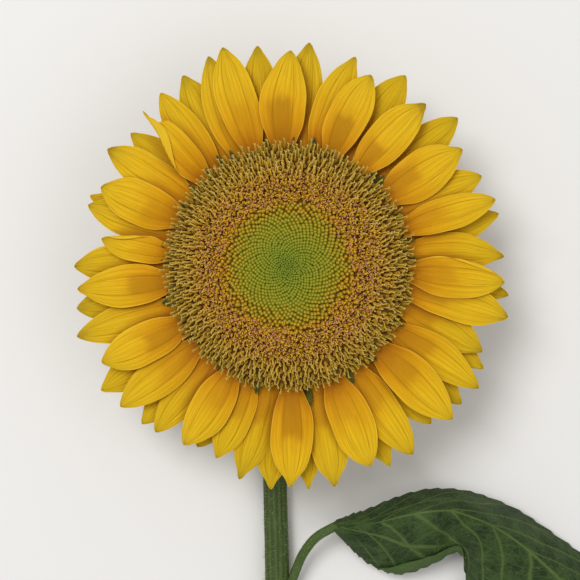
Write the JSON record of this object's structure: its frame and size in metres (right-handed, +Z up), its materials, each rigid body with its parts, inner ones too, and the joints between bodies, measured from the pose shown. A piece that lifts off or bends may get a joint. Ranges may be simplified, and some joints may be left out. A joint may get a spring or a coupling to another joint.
{
  "type": "cut sunflower",
  "caption": "Cut sunflower lying on a surface: layered yellow ray petals round a raised disc of florets and green buds, leafy green bracts behind, and a long stem with a leaf.",
  "frame": {"origin": "on the surface the flower lies on, under the middle of its overall box", "axes": "+Z up, the way the flower head faces; the stem runs from the head towards -Y; the leaf is on the +X side"},
  "size_m": [0.218, 0.278, 0.0445],
  "materials": {
    "stem": "matte",
    "calyx": "matte",
    "petals": "satin",
    "florets": "matte",
    "buds": "satin",
    "leaf": "matte"
  },
  "bodies": {
    "root": {"stem": "stem", "calyx": "calyx", "ray_petals": "petals", "disc_florets": "florets", "disc_buds": "buds", "leaf": "leaf"}
  },
  "joints": []
}
